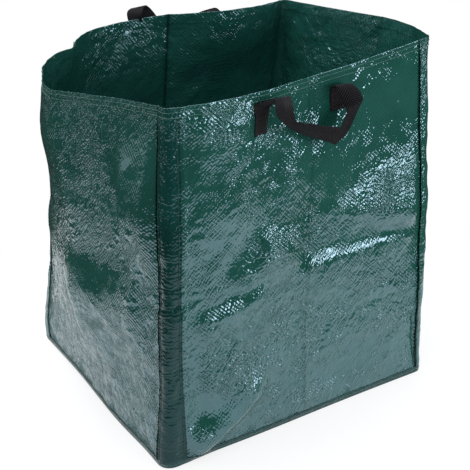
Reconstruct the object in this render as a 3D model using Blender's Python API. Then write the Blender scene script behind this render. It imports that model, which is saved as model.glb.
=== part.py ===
"""Garden waste bag: four walls and a base of coated woven fabric, sewn together,
with webbing handles on the front and back walls.

Metres, +Z up. The origin is the middle of the underside of the base and the
front wall faces -Y. Each wall is described by two flat coordinates: along, from
its left corner to its right corner seen from outside, and high, from the floor
to the rim. Every sewn piece is laid on the walls through those coordinates.
"""
import math

import bpy
from mathutils import Vector

# Sewn sizes of the bag
BASE_WIDTH = 0.600
BASE_DEPTH = 0.600
WALL_HEIGHT = 0.705
CORNER_BEND = 0.016
HEM_HEIGHT = 0.022
BAND_WIDTH = 0.050
LIP_HEIGHT = 0.013

# Thicknesses, and the air kept between two pieces that touch
FABRIC = 0.0006
BAND_FABRIC = 0.0006
BASE_FABRIC = 0.0008
GAP = 0.0003

# Sewing thread and where its rows run
THREAD = 0.0009
RIM_ROW_DEPTHS = (0.007, 0.016)
BAND_ROW_INSET = 0.005
LIP_ROW_DEPTH = 0.005
TAB_ROW_INSET = 0.004

# Webbing handles
WEBBING_WIDTH = 0.032
WEBBING_THICKNESS = 0.0016
TAB_LENGTH = 0.036
TAB_DEPTH = 0.040
HINGE_OUT = 0.016
LOOP_REACH = 0.019
LOOP_DROP = 0.084

# Each handle: how far its middle is from the middle of the wall, the spread of its
# sewn ends, and how far along the wall and above each sewn end the webbing folds over
FRONT_HANDLE_SHIFT = -0.032
FRONT_HANDLE_SPREAD = 0.188
FRONT_LEFT_FOLD_SHIFT = 0.030
FRONT_LEFT_FOLD_RISE = 0.027
FRONT_RIGHT_FOLD_SHIFT = 0.006
FRONT_RIGHT_FOLD_RISE = 0.011
BACK_HANDLE_SHIFT = -0.015
BACK_HANDLE_SPREAD = 0.172
BACK_LEFT_FOLD_SHIFT = 0.006
BACK_LEFT_FOLD_RISE = 0.041
BACK_RIGHT_FOLD_SHIFT = -0.004
BACK_RIGHT_FOLD_RISE = 0.056

# How the open bag stands: how far each rim corner has moved from above its base corner
# (x, y), how far below the full wall height it is, and the power by which the lean
# grows with height, where 1 is a straight line
RIM_CORNERS = {
    "front_left": (0.016, -0.067, 0.012, 1.1),
    "front_right": (0.002, 0.013, 0.001, 1.0),
    "back_right": (0.051, -0.027, 0.020, 1.2),
    "back_left": (0.090, -0.120, 0.028, 1.4),
}
# How far the middle crease of each wall stands out at the rim, how far it is below
# the full height, how far the halves left and right of it bow out, and the power by
# which all this grows with height
RIM_MIDDLES = {
    "front": (0.000, 0.019, 0.017, 0.005, 1.0),
    "right": (0.086, 0.024, 0.012, -0.004, 1.2),
    "back": (0.063, 0.017, -0.042, 0.048, 1.2),
    "left": (0.115, 0.031, 0.034, -0.012, 1.0),
}

# Widest and tallest facet of the wall meshes
ALONG_STEP = 0.055
HIGH_STEP = 0.100
# Facets along the webbing that stands up from each sewn end, and the parts of its rise
# over which it keeps the direction of the wall and of the fold
STAND_STEPS = 6
WALL_PULL = 0.65
FOLD_PULL = 0.25

FABRIC_GREEN = (0.009, 0.076, 0.054, 1.0)
THREAD_GREEN = (0.060, 0.170, 0.140, 1.0)
WEBBING_BLACK = (0.016, 0.014, 0.018, 1.0)

CORNER_NAMES = ("front_left", "front_right", "back_right", "back_left")
WALL_NAMES = ("front", "right", "back", "left")
# Shift and spread of each handle, then the shifts and the rises of its two folds
HANDLES = {
    "front": (
        FRONT_HANDLE_SHIFT,
        FRONT_HANDLE_SPREAD,
        (FRONT_LEFT_FOLD_SHIFT, FRONT_RIGHT_FOLD_SHIFT),
        (FRONT_LEFT_FOLD_RISE, FRONT_RIGHT_FOLD_RISE),
    ),
    "back": (
        BACK_HANDLE_SHIFT,
        BACK_HANDLE_SPREAD,
        (BACK_LEFT_FOLD_SHIFT, BACK_RIGHT_FOLD_SHIFT),
        (BACK_LEFT_FOLD_RISE, BACK_RIGHT_FOLD_RISE),
    ),
}

WALL_OUTSIDE = FABRIC / 2
BAND_INSIDE = WALL_OUTSIDE + GAP
BAND_OUTSIDE = BAND_INSIDE + BAND_FABRIC
LIP_INSIDE = WALL_OUTSIDE + GAP
LIP_OUTSIDE = LIP_INSIDE + BASE_FABRIC
TAB_INSIDE = WALL_OUTSIDE + GAP
TAB_OUTSIDE = TAB_INSIDE + WEBBING_THICKNESS
WALL_FOOT = BASE_FABRIC + GAP
BAND_FOOT = LIP_HEIGHT + GAP
BAND_TOP = WALL_HEIGHT - 2 * GAP
TAB_TOP = WALL_HEIGHT - TAB_DEPTH
TAB_FOOT = TAB_TOP - TAB_LENGTH
HEM_FOOT = WALL_HEIGHT - HEM_HEIGHT
# Webbing kept clear of the fold line on both sides, so that the loop can turn
FOLD_CLEAR = WEBBING_THICKNESS / 2 + GAP


# Materials

def make_material(name, colour, roughness):
    material = bpy.data.materials.new(name)
    material.use_nodes = True
    shader = material.node_tree.nodes["Principled BSDF"]
    shader.inputs["Base Color"].default_value = colour
    shader.inputs["Roughness"].default_value = roughness
    shader.inputs["Metallic"].default_value = 0.0
    return material


# The standing shape of the walls

def wall_length(wall):
    """Sewn length of a wall from corner to corner."""
    return BASE_WIDTH if wall % 2 == 0 else BASE_DEPTH


def corner_point(corner, share):
    """Sharp meeting line of two walls; share is the part of the wall height."""
    sign_x = -1 if corner in (0, 3) else 1
    sign_y = -1 if corner in (0, 1) else 1
    lean_x, lean_y, drop, power = RIM_CORNERS[CORNER_NAMES[corner]]
    lean = share ** power
    return Vector((
        sign_x * BASE_WIDTH / 2 + lean_x * lean,
        sign_y * BASE_DEPTH / 2 + lean_y * lean,
        share * (WALL_HEIGHT - drop),
    ))


def side_point(wall, along, share):
    """Wall surface between its two sharp corner lines."""
    start = corner_point(wall, share)
    end = corner_point((wall + 1) % 4, share)
    crease_out, drop, bow_first, bow_second, power = RIM_MIDDLES[WALL_NAMES[wall]]
    part = along / wall_length(wall)
    tent = 1 - abs(2 * part - 1)
    half = 2 * part if part < 0.5 else 2 * part - 1
    bow = bow_first if part < 0.5 else bow_second
    out = (crease_out * tent + bow * 4 * half * (1 - half)) * share ** power
    run = end - start
    outward = Vector((run.y, -run.x, 0)).normalized()
    point = start + run * part + outward * out
    mid_height = share * (WALL_HEIGHT - drop)
    point.z += (mid_height - (start.z + end.z) / 2) * tent
    return point


def wall_point(wall, along, high):
    """Wall surface with its corners bent softly, from one corner to the next."""
    length = wall_length(wall)
    if along > length - CORNER_BEND:
        return wall_point((wall + 1) % 4, along - length, high)
    share = high / WALL_HEIGHT
    if along >= CORNER_BEND:
        return side_point(wall, along, share)
    before = (wall - 1) % 4
    into = side_point(before, wall_length(before) - CORNER_BEND, share)
    out_of = side_point(wall, CORNER_BEND, share)
    turn = 0.5 + 0.5 * along / CORNER_BEND
    tip = corner_point(wall, share)
    return into * (1 - turn) ** 2 + tip * 2 * turn * (1 - turn) + out_of * turn ** 2


def wall_normal(wall, along, high):
    """Unit vector out of the bag."""
    step = 0.0005
    across = wall_point(wall, along + step, high) - wall_point(wall, along - step, high)
    up = wall_point(wall, along, high + step) - wall_point(wall, along, max(high - step, 0))
    return across.cross(up).normalized()


def fill_steps(keys, longest):
    """Sorted key values with even steps between them, none longer than asked."""
    values = sorted(keys)
    filled = [values[0]]
    for value in values[1:]:
        distance = value - filled[-1]
        if distance < GAP:
            continue
        count = math.ceil(distance / longest - 1e-6)
        start = filled[-1]
        filled.extend(start + distance * step / count for step in range(1, count + 1))
    return filled


def tab_middles(wall):
    """Where along a wall its two handle ends are sewn."""
    if WALL_NAMES[wall] not in HANDLES:
        return ()
    shift, spread, _, _ = HANDLES[WALL_NAMES[wall]]
    middle = wall_length(wall) / 2 + shift
    return (middle - spread / 2, middle + spread / 2)


def wall_columns(wall):
    """Facet lines of a wall, shared by every piece laid on it."""
    length = wall_length(wall)
    keys = [0, CORNER_BEND / 2, CORNER_BEND, BAND_WIDTH / 2, length / 2]
    keys += [length - key for key in keys]
    for middle in tab_middles(wall):
        keys += [middle - WEBBING_WIDTH / 2, middle + WEBBING_WIDTH / 2]
    return fill_steps(keys, ALONG_STEP)


def wall_rows(low, high):
    """Facet heights between two heights, shared by every piece laid on the walls."""
    keys = [WALL_FOOT, LIP_HEIGHT, BAND_FOOT, TAB_FOOT, TAB_TOP, HEM_FOOT, WALL_HEIGHT]
    shared = [row for row in fill_steps(keys, HIGH_STEP) if low + GAP < row < high - GAP]
    return [low] + shared + [high]


def laid_point(wall, along, high, out):
    """Point a distance out of the wall surface."""
    return wall_point(wall, along, high) + wall_normal(wall, along, high) * out


def facet_point(wall, along, high, out):
    """Point a distance out of the faceted wall, between two of its columns."""
    columns = wall_columns(wall)
    for left, right in zip(columns, columns[1:]):
        if along <= right:
            part = (along - left) / (right - left)
            first = laid_point(wall, left, high, out)
            return first.lerp(laid_point(wall, right, high, out), part)
    return laid_point(wall, along, high, out)


# Solids

def make_object(name, vertices, faces, material):
    mesh = bpy.data.meshes.new(name)
    mesh.from_pydata([tuple(vertex) for vertex in vertices], [], faces)
    mesh.update()
    mesh.shade_smooth()
    mesh.set_sharp_from_angle(angle=math.radians(30))
    made = bpy.data.objects.new(name, mesh)
    made.data.materials.append(material)
    bpy.context.scene.collection.objects.link(made)
    return made


def sheet_solid(name, inner, outer, material):
    """Closed sheet from two grids of points: rows going up, columns going right
    as seen from outside."""
    rows = len(outer)
    columns = len(outer[0])
    vertices = [point for row in outer for point in row]
    vertices += [point for row in inner for point in row]
    back = rows * columns

    def at(row, column):
        return row * columns + column

    faces = []
    for row in range(rows - 1):
        for column in range(columns - 1):
            square = (at(row, column), at(row, column + 1), at(row + 1, column + 1), at(row + 1, column))
            faces.append((square[0], square[1], square[2]))
            faces.append((square[0], square[2], square[3]))
            faces.append((back + square[2], back + square[1], back + square[0]))
            faces.append((back + square[3], back + square[2], back + square[0]))
    border = [at(0, column) for column in range(columns)]
    border += [at(row, columns - 1) for row in range(1, rows)]
    border += [at(rows - 1, column) for column in range(columns - 2, -1, -1)]
    border += [at(row, 0) for row in range(rows - 2, 0, -1)]
    for first, second in zip(border, border[1:] + border[:1]):
        faces.append((second, first, back + first, back + second))
    return make_object(name, vertices, faces, material)


def tube_rings(points, sides, closed):
    """Rings of a square-section thread; sides gives the outward direction of each point."""
    rings = []
    count = len(points)
    for index, point in enumerate(points):
        before = points[index - 1] if closed or index else point
        after = points[(index + 1) % count] if closed or index < count - 1 else point
        run = (after - before).normalized()
        outward = sides[index]
        across = run.cross(outward).normalized()
        radius = THREAD / 2
        rings.append([
            point - across * radius - outward * radius,
            point + across * radius - outward * radius,
            point + across * radius + outward * radius,
            point - across * radius + outward * radius,
        ])
    return rings


def ring_solid(name, rings, closed, material):
    """Closed solid through a row of four-point rings."""
    vertices = [point for ring in rings for point in ring]
    count = len(rings)
    faces = []
    for index in range(count if closed else count - 1):
        following = (index + 1) % count
        for side in range(4):
            turn = (side + 1) % 4
            faces.append((index * 4 + side, following * 4 + side, following * 4 + turn, index * 4 + turn))
    if not closed:
        last = (count - 1) * 4
        faces.append((0, 1, 2, 3))
        faces.append((last + 3, last + 2, last + 1, last))
    return make_object(name, vertices, faces, material)


def thread_solid(name, places, material, closed=False):
    """Thread lying on the walls; places are (wall, along, high, underside height)."""
    points = []
    sides = []
    for wall, along, high, under in places:
        points.append(facet_point(wall, along, high, under + THREAD / 2))
        sides.append(wall_normal(wall, along, high))
    return ring_solid(name, tube_rings(points, sides, closed), closed, material)


# The walls, the base and the strips sewn over the corners

def build_wall(wall, fabric):
    """One wall with its hem turned to the inside at the rim."""
    length = wall_length(wall)
    columns = [min(max(along, GAP / 2), length - GAP / 2) for along in wall_columns(wall)]
    fold = GAP * 2
    rows = [(high, FABRIC / 2) for high in wall_rows(WALL_FOOT, HEM_FOOT - fold)]
    rows += [(high, FABRIC * 3 / 2) for high in wall_rows(HEM_FOOT, WALL_HEIGHT)]
    outer = [[laid_point(wall, along, high, WALL_OUTSIDE) for along in columns] for high, _ in rows]
    inner = [[laid_point(wall, along, high, -depth) for along in columns] for high, depth in rows]
    return sheet_solid(WALL_NAMES[wall] + "_panel", inner, outer, fabric)


def around_columns():
    """Every facet line round the bag as (wall, along), each corner once."""
    return [(wall, along) for wall in range(4) for along in wall_columns(wall)[:-1]]


def build_base(fabric):
    """Base sheet with its edge turned up outside the walls, where it is sewn on."""
    places = around_columns()

    def ring(high, out, height=None):
        points = [laid_point(wall, along, high, out) for wall, along in places]
        if height is not None:
            for point in points:
                point.z = height
        return points

    rings = [
        ring(0, LIP_OUTSIDE, 0),
        ring(LIP_HEIGHT, LIP_OUTSIDE),
        ring(LIP_HEIGHT, LIP_INSIDE),
        ring(BASE_FABRIC, LIP_INSIDE, BASE_FABRIC),
    ]
    count = len(places)
    vertices = [point for points in rings for point in points]
    faces = [tuple(reversed(range(count)))]
    for level in range(len(rings) - 1):
        first = level * count
        second = first + count
        for index in range(count):
            following = (index + 1) % count
            square = (first + index, first + following, second + following, second + index)
            if level == 2:
                # Inside the lip the rings run down, and the facets split like the wall beside them
                square = square[1:] + square[:1]
            faces.append((square[0], square[1], square[2]))
            faces.append((square[0], square[2], square[3]))
    top = (len(rings) - 1) * count
    faces.append(tuple(range(top, top + count)))
    return make_object("base_panel", vertices, faces, fabric)


def band_columns(corner):
    """Facet lines under the strip over a corner as (wall, along), left to right."""
    before = (corner - 1) % 4
    length = wall_length(before)
    half = BAND_WIDTH / 2
    left = [(before, along) for along in wall_columns(before) if length - half - GAP <= along < length]
    right = [(corner, along) for along in wall_columns(corner) if along <= half + GAP]
    return left + right


def build_band(corner, fabric):
    """Reinforcing strip folded round the outside of a corner."""
    rows = wall_rows(BAND_FOOT, BAND_TOP)
    columns = band_columns(corner)
    outer = [[laid_point(wall, along, high, BAND_OUTSIDE) for wall, along in columns] for high in rows]
    inner = [[laid_point(wall, along, high, BAND_INSIDE) for wall, along in columns] for high in rows]
    return sheet_solid("corner_band_" + CORNER_NAMES[corner], inner, outer, fabric)


# The sewing

def build_band_threads(corner, thread):
    """A row of stitches up each edge of a corner strip, ending below the rim rows."""
    before = (corner - 1) % 4
    inset = BAND_WIDTH / 2 - BAND_ROW_INSET
    low = BAND_FOOT + GAP
    high = WALL_HEIGHT - RIM_ROW_DEPTHS[-1] - THREAD - GAP
    name = "corner_thread_" + CORNER_NAMES[corner]
    edges = {"_left": (before, wall_length(before) - inset), "_right": (corner, inset)}
    for end, (wall, along) in edges.items():
        places = [(wall, along, row, BAND_OUTSIDE + GAP) for row in wall_rows(low, high)]
        thread_solid(name + end, places, thread)


def build_rim_threads(thread):
    """Stitch rows that hold the hem, over the walls and the corner strips."""
    half = BAND_WIDTH / 2 + GAP
    for name, depth in zip(("upper", "lower"), RIM_ROW_DEPTHS):
        places = []
        for wall, along in around_columns():
            on_band = along <= half or along >= wall_length(wall) - half
            under = (BAND_OUTSIDE if on_band else WALL_OUTSIDE) + GAP
            places.append((wall, along, WALL_HEIGHT - depth, under))
        thread_solid("rim_thread_" + name, places, thread, closed=True)


def build_lip_thread(thread):
    """Stitch row that holds the turned-up edge of the base to the walls."""
    high = LIP_HEIGHT - LIP_ROW_DEPTH
    places = [(wall, along, high, LIP_OUTSIDE + GAP) for wall, along in around_columns()]
    return thread_solid("base_thread", places, thread, closed=True)


def build_tab_thread(name, wall, middle, thread):
    """Box of stitches that holds one end of a handle."""
    half = WEBBING_WIDTH / 2 - TAB_ROW_INSET
    low = TAB_FOOT + TAB_ROW_INSET
    high = TAB_TOP - TAB_ROW_INSET
    corners = ((-half, low), (half, low), (half, high), (-half, high))
    places = [(wall, middle + across, up, TAB_OUTSIDE + GAP) for across, up in corners]
    return thread_solid(name, places, thread, closed=True)


# The handles

class Hinge:
    """Fold line of a handle: where it starts, and its directions along, out and up."""

    def __init__(self, wall):
        _, _, leans, self.rises = HANDLES[WALL_NAMES[wall]]
        self.wall = wall
        self.tabs = tab_middles(wall)
        tops = [facet_point(wall, middle, TAB_TOP, TAB_OUTSIDE) for middle in self.tabs]
        level = (tops[1] - tops[0]).normalized()
        outward = level.cross(Vector((0, 0, 1))).normalized()
        folds = []
        for top, lean, rise in zip(tops, leans, self.rises):
            folds.append(top + level * lean + outward * HINGE_OUT + Vector((0, 0, rise)))
        self.start = folds[0]
        self.length = (folds[1] - folds[0]).length
        self.along = (folds[1] - folds[0]).normalized()
        self.out = self.along.cross(Vector((0, 0, 1))).normalized()
        self.up = self.out.cross(self.along)

    def point(self, along, out, up):
        return self.start + self.along * along + self.out * out + self.up * up


def strap_rings(centres, widths, faces):
    """Rings of flat webbing: width direction and the direction its face looks."""
    rings = []
    for centre, width, face in zip(centres, widths, faces):
        side = width * WEBBING_WIDTH / 2
        thick = face * WEBBING_THICKNESS / 2
        rings.append([
            centre - side - thick,
            centre + side - thick,
            centre + side + thick,
            centre - side + thick,
        ])
    return rings


def build_tab(name, hinge, index, webbing):
    """Sewn end of a handle, and the webbing standing up from it to the fold line."""
    wall = hinge.wall
    middle = hinge.tabs[index]
    edges = (middle - WEBBING_WIDTH / 2, middle + WEBBING_WIDTH / 2)
    rings = []
    for high in wall_rows(TAB_FOOT, TAB_TOP):
        low_side = [laid_point(wall, along, high, TAB_INSIDE) for along in edges]
        top_side = [laid_point(wall, along, high, TAB_OUTSIDE) for along in edges]
        rings.append([low_side[0], low_side[1], top_side[1], top_side[0]])
    foot = rings[-1]
    fold = strap_rings([hinge.point(hinge.length * index, 0, -FOLD_CLEAR)], [hinge.along], [hinge.out])[0]
    lift = (wall_point(wall, middle, WALL_HEIGHT) - wall_point(wall, middle, TAB_TOP)).normalized()
    rise = hinge.rises[index]
    lean = lift * rise * WALL_PULL + wall_normal(wall, middle, TAB_TOP) * HINGE_OUT / 2
    for step in range(1, STAND_STEPS + 1):
        turn = step / STAND_STEPS
        back = 1 - turn
        ring = []
        for start, end in zip(foot, fold):
            over = start + lean
            under = end - hinge.up * rise * FOLD_PULL
            ring.append(start * back ** 3 + over * 3 * turn * back ** 2
                        + under * 3 * turn ** 2 * back + end * turn ** 3)
        rings.append(ring)
    return ring_solid(name, rings, False, webbing)


def loop_stations(length):
    """Centre line of the drooping loop as (along, out, up, turn of the width in degrees)."""
    shape = (
        (0, 0.45, 0.02, 0),
        (0.006, 0.85, 0.11, 2),
        (0.018, 1, 0.26, 7),
        (0.055, 1, 0.45, 22),
        (0.142, 1, 0.63, 54),
        (0.300, 1, 0.73, 70),
        (0.520, 1, 0.83, 72),
        (0.680, 1, 0.93, 76),
        (0.778, 1, 0.96, 104),
        (0.877, 1, 0.80, 138),
        (0.951, 1, 0.56, 156),
        (0.994, 0.95, 0.28, 170),
        (1, 0.75, 0.08, 177),
        (1, 0.40, 0.01, 180),
    )
    hanging = [(along * length, out * LOOP_REACH, -down * LOOP_DROP, turn) for along, out, down, turn in shape]
    return [(0, FOLD_CLEAR, 0, 0)] + hanging + [(length, FOLD_CLEAR, 0, 180)]


def smooth_between(values, index, part):
    """Catmull-Rom value between two entries of a list of tuples."""
    last = len(values) - 1
    p0, p1, p2, p3 = (values[min(max(index + shift, 0), last)] for shift in (-1, 0, 1, 2))
    blended = []
    for a, b, c, d in zip(p0, p1, p2, p3):
        blended.append(0.5 * (2 * b + (c - a) * part + (2 * a - 5 * b + 4 * c - d) * part ** 2
                              + (3 * b - a - 3 * c + d) * part ** 3))
    return blended


def build_loop(name, hinge, webbing):
    """Free part of a handle, hanging from its fold line."""
    stations = loop_stations(hinge.length)
    places = [smooth_between(stations, index, part) for index in range(len(stations) - 1) for part in (0, 0.5)]
    places.append(stations[-1])
    centres = [hinge.point(*place[:3]) for place in places]
    widths = []
    for place in places:
        turn = math.radians(place[3])
        widths.append(hinge.along * math.cos(turn) + hinge.up * math.sin(turn))
    faces = []
    for index, centre in enumerate(centres):
        before = centres[max(index - 1, 0)]
        after = centres[min(index + 1, len(centres) - 1)]
        run = hinge.out if index == 0 else (after - before).normalized()
        run = -hinge.out if index == len(centres) - 1 else run
        faces.append(widths[index].cross(run).normalized())
    return ring_solid(name, strap_rings(centres, widths, faces), False, webbing)


def build_handle(wall, webbing, thread):
    """One handle: two sewn ends with their stitches, and the loop between them."""
    side = WALL_NAMES[wall]
    hinge = Hinge(wall)
    for index, end in enumerate(("left", "right")):
        build_tab(side + "_handle_end_" + end, hinge, index, webbing)
        build_tab_thread(side + "_handle_thread_" + end, wall, hinge.tabs[index], thread)
    build_loop(side + "_handle_loop", hinge, webbing)


def main():
    for old in list(bpy.data.objects):
        bpy.data.objects.remove(old, do_unlink=True)
    fabric = make_material("coated_woven_green", FABRIC_GREEN, 0.35)
    thread = make_material("thread_green", THREAD_GREEN, 0.55)
    webbing = make_material("webbing_black", WEBBING_BLACK, 0.70)
    for wall in range(4):
        build_wall(wall, fabric)
        build_band(wall, fabric)
        build_band_threads(wall, thread)
    build_base(fabric)
    build_rim_threads(thread)
    build_lip_thread(thread)
    for wall in (0, 2):
        build_handle(wall, webbing, thread)


main()
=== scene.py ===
"""Looks of the garden waste bag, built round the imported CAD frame.

Metres, +Z up. Every sewn piece lies on one surface, the walls, described by two flat
coordinates: around, from the front left corner to the right round the bag, and high,
from the floor to the rim. The smooth surface is the CAD's. The folds are added to it.
"""
import functools
import math

import bpy
import numpy as np
from mathutils import Matrix, Vector


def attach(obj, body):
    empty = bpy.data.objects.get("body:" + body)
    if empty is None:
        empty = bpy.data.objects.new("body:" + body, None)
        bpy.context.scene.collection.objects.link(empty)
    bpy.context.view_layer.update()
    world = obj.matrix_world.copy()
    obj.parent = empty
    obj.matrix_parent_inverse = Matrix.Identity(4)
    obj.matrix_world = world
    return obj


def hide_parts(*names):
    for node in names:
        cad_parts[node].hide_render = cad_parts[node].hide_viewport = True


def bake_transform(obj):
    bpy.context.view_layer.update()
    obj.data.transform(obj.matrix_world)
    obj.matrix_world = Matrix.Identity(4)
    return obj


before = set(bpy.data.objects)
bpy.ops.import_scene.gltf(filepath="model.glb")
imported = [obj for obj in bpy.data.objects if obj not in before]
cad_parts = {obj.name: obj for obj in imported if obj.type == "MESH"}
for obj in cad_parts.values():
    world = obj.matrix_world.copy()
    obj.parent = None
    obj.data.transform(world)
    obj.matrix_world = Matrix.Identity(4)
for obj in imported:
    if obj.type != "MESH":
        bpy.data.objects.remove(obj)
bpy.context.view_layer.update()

# Sewn sizes, as the CAD has them
BASE = 0.600
WALL_HEIGHT = 0.705
CORNER_BEND = 0.016
HEM_HEIGHT = 0.022
BAND_WIDTH = 0.050
LIP_HEIGHT = 0.013
FABRIC = 0.0006
BASE_FABRIC = 0.0008
GAP = 0.0003
RIM_ROW_DEPTHS = (0.007, 0.016)
BAND_ROW_INSET = 0.005
LIP_ROW_DEPTH = 0.005
TAB_ROW_INSET = 0.004
WEBBING_WIDTH = 0.032
WEBBING_THICKNESS = 0.0016
TAB_LENGTH = 0.036
TAB_DEPTH = 0.040
HINGE_OUT = 0.016

# Each handle: wall, shift and spread of its sewn ends, then the shifts and the rises
# of its two folds
HANDLES = {
    "front": (0, -0.032, 0.188, (0.030, 0.006), (0.027, 0.011)),
    "back": (2, -0.015, 0.172, (0.006, -0.004), (0.041, 0.056)),
}

# The standing shape: lean x, lean y, drop and power of each rim corner, then the
# stand-out, drop, two bows and power of each wall's middle
CORNER_NAMES = ("front_left", "front_right", "back_right", "back_left")
WALL_NAMES = ("front", "right", "back", "left")
RIM_CORNERS = np.array((
    (0.016, -0.067, 0.012, 1.1),
    (0.002, 0.013, 0.001, 1.0),
    (0.051, -0.027, 0.020, 1.2),
    (0.090, -0.120, 0.028, 1.4),
))
RIM_MIDDLES = np.array((
    (0.000, 0.019, 0.017, 0.005, 1.0),
    (0.086, 0.024, 0.012, -0.004, 1.2),
    (0.063, 0.017, -0.042, 0.048, 1.2),
    (0.115, 0.031, 0.034, -0.012, 1.0),
))
CORNER_SIGN_X = np.array((-1, 1, 1, -1))
CORNER_SIGN_Y = np.array((-1, -1, 1, 1))

AROUND = 4 * BASE
WALL_FOOT = BASE_FABRIC + GAP
BAND_FOOT = LIP_HEIGHT + GAP
BAND_TOP = WALL_HEIGHT - 2 * GAP
TAB_TOP = WALL_HEIGHT - TAB_DEPTH
TAB_FOOT = TAB_TOP - TAB_LENGTH
BAND_OUT = FABRIC / 2 + GAP + FABRIC / 2
LIP_OUT = FABRIC / 2 + GAP + BASE_FABRIC / 2
TAB_OUT = FABRIC / 2 + GAP + WEBBING_THICKNESS / 2

# Widest facets of the cloth, and the finer ones along seams
CLOTH_STEP = 0.0040
SEAM_STEP = 0.0014


# Helpers

def unit(vectors):
    return vectors / np.linalg.norm(vectors, axis=-1, keepdims=True)


def ease(value):
    """Rise from 0 to 1, soft at both ends."""
    value = np.clip(value, 0, 1)
    return value * value * (3 - 2 * value)


def ramp(value, start, run):
    """Rise from 0 at a start to 1 a run further on."""
    return ease((value - start) / run)


def length_along(points):
    """Distance of each point from the first, along a run of them."""
    steps = np.linalg.norm(np.diff(points, axis=0), axis=1)
    return np.concatenate(([0], np.cumsum(steps)))


def beside_corner(around):
    """Distance right of the bag's nearest corner."""
    return (around + BASE / 2) % BASE - BASE / 2


def placed(name, data):
    """A new object in the scene."""
    made = bpy.data.objects.new(name, data)
    bpy.context.scene.collection.objects.link(made)
    return made


# The smooth standing surface

def corner_line(corner, share):
    lean_x, lean_y, drop, power = np.moveaxis(RIM_CORNERS[corner], -1, 0)
    lean = share ** power
    return np.stack((
        CORNER_SIGN_X[corner] * BASE / 2 + lean_x * lean,
        CORNER_SIGN_Y[corner] * BASE / 2 + lean_y * lean,
        share * (WALL_HEIGHT - drop),
    ), -1)


def side_surface(wall, along, share):
    """Wall surface between its two sharp corner lines."""
    start = corner_line(wall, share)
    end = corner_line((wall + 1) % 4, share)
    crease_out, drop, bow_first, bow_second, power = np.moveaxis(RIM_MIDDLES[wall], -1, 0)
    part = along / BASE
    tent = 1 - np.abs(2 * part - 1)
    half = np.where(part < 0.5, 2 * part, 2 * part - 1)
    bow = np.where(part < 0.5, bow_first, bow_second)
    out = (crease_out * tent + bow * 4 * half * (1 - half)) * share ** power
    run = end - start
    outward = np.stack((run[..., 1], -run[..., 0], np.zeros_like(share)), -1)
    points = start + run * part[..., None] + unit(outward) * out[..., None]
    points[..., 2] += (share * (WALL_HEIGHT - drop) - (start[..., 2] + end[..., 2]) / 2) * tent
    return points


def smooth_point(around, high):
    """Smooth wall surface with its corners bent softly, all the way round."""
    around, high = np.broadcast_arrays(np.asarray(around, float) % AROUND, np.asarray(high, float))
    share = high / WALL_HEIGHT
    wall = np.minimum((around / BASE).astype(int), 3)
    along = around - wall * BASE
    points = side_surface(wall, along, share)
    past = along > BASE - CORNER_BEND
    corner = np.where(past, (wall + 1) % 4, wall)
    offset = np.where(past, along - BASE, along)
    into = side_surface((corner - 1) % 4, np.full_like(share, BASE - CORNER_BEND), share)
    out_of = side_surface(corner, np.full_like(share, CORNER_BEND), share)
    turn = (0.5 + 0.5 * offset / CORNER_BEND)[..., None]
    tip = corner_line(corner, share)
    bent = into * (1 - turn) ** 2 + tip * 2 * turn * (1 - turn) + out_of * turn ** 2
    return np.where((offset < CORNER_BEND)[..., None], bent, points)


# How far apart the points lie from which the way out of a surface is worked out
SMOOTH_STEP = 0.0005
FOLDED_STEP = 0.0010


def outward_of(surface, around, high, step):
    """Unit vectors out of a surface given as a function of around and high."""
    across = surface(around + step, high) - surface(around - step, high)
    up = surface(around, high + step) - surface(around, np.maximum(high - step, 0))
    return unit(np.cross(across, up))


def laid_on(surface, step, around, high, out):
    """Points a distance out of a surface."""
    around, high, out = np.broadcast_arrays(*(np.asarray(value, float) for value in (around, high, out)))
    return surface(around, high) + outward_of(surface, around, high, step) * out[..., None]


def laid_smooth(around, high, out):
    return laid_on(smooth_point, SMOOTH_STEP, around, high, out)


def cloth_point(around, high):
    return laid_smooth(around, high, relief(around, high))


def laid(around, high, out):
    """Points a distance out of the folded cloth."""
    return laid_on(cloth_point, FOLDED_STEP, around, high, out)


# The folds

# How far the ridges of creased noise are bent, in cells, and how quickly
NOISE_BEND = 0.35
NOISE_BEND_RATE = 0.7


def smooth_noise(x, y, seed):
    """Gradient noise from about -1 to 1, one cell to a unit."""
    cell_x = np.floor(x).astype(np.int64)
    cell_y = np.floor(y).astype(np.int64)
    part_x = x - cell_x
    part_y = y - cell_y

    def pull(shift_x, shift_y):
        mixed = (cell_x + shift_x) * 73856093 + (cell_y + shift_y) * 19349663 + seed * 83492791
        mixed = ((mixed ^ (mixed >> 13)) & 0xFFFFFFF) * 1274126177
        angle = ((mixed ^ (mixed >> 16)) & 0xFFFF) / 0xFFFF * 2 * math.pi
        return np.cos(angle) * (part_x - shift_x) + np.sin(angle) * (part_y - shift_y)

    ease_x, ease_y = (part * part * part * (part * (part * 6 - 15) + 10) for part in (part_x, part_y))
    low, top = (pull(0, row) * (1 - ease_x) + pull(1, row) * ease_x for row in (0, 1))
    return 1.5 * (low * (1 - ease_y) + top * ease_y)


def creased_noise(x, y, seed):
    """Noise with sharp ridges, like cloth that has been crumpled, from 0 to about 1."""
    bent_x = x + NOISE_BEND * smooth_noise(x * NOISE_BEND_RATE, y * NOISE_BEND_RATE, seed + 11)
    bent_y = y + NOISE_BEND * smooth_noise(x * NOISE_BEND_RATE, y * NOISE_BEND_RATE, seed + 12)
    return 1 - np.abs(smooth_noise(bent_x, bent_y, seed))


def crumpled(x, y, layers, level):
    """Creased noise in layers, each given by two cell sizes, a seed and a rise."""
    return sum(rise * (creased_noise(x / cell_x, y / cell_y, seed) - level)
               for cell_x, cell_y, seed, rise in layers)


def wall_along(around, wall):
    """Distance right of a wall's left corner, the short way round."""
    return (around - wall * BASE + AROUND / 2) % AROUND - AROUND / 2


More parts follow.
